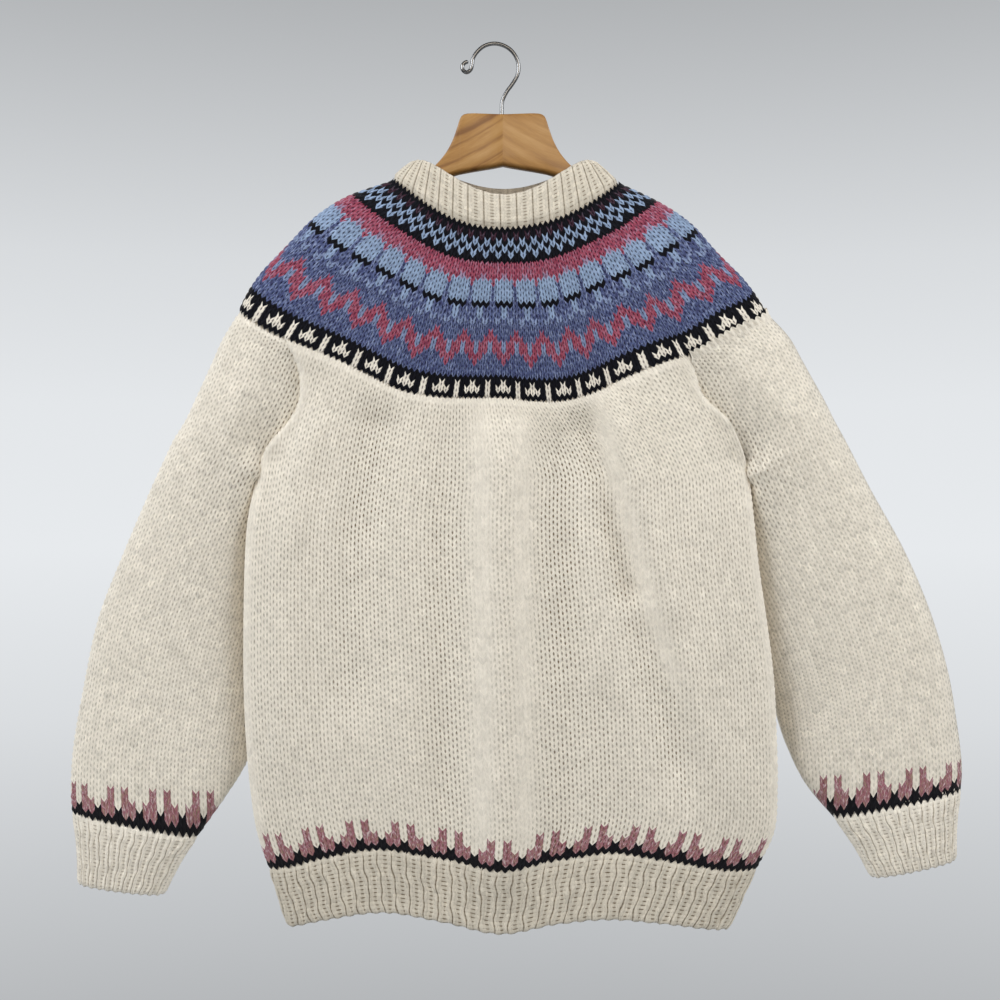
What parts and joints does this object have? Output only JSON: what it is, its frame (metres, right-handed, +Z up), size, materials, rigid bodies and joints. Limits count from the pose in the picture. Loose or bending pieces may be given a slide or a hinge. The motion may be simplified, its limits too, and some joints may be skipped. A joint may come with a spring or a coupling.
{
  "type": "knitted nordic yoke sweater on a wooden clothes hanger",
  "caption": "Long-sleeved pullover with a round patterned yoke, folded rib collar, ribbed hem and cuffs, hanging on a wooden hanger with a wire hook.",
  "frame": {"origin": "the point where the inside of the hanger's hook bears on its rail", "axes": "+Z up, +X to the right of someone who looks at the front, the front faces -Y"},
  "size_m": [0.8643, 0.0858, 0.8534],
  "materials": {
    "cream_wool": "undyed cream wool, knitted",
    "heather_blue_wool": "wool in black, blues and rose, knitted in a round pattern",
    "varnished_beech": "clear varnish",
    "black_wire": "bright plated wire"
  },
  "bodies": {
    "root": {"collar": "cream_wool", "yoke": "heather_blue_wool", "body": "cream_wool", "hem_rib": "cream_wool", "sleeve_left": "cream_wool", "sleeve_right": "cream_wool", "cuff_left": "cream_wool", "cuff_right": "cream_wool", "hanger_wood": "varnished_beech", "hanger_hook": "black_wire"}
  },
  "joints": []
}
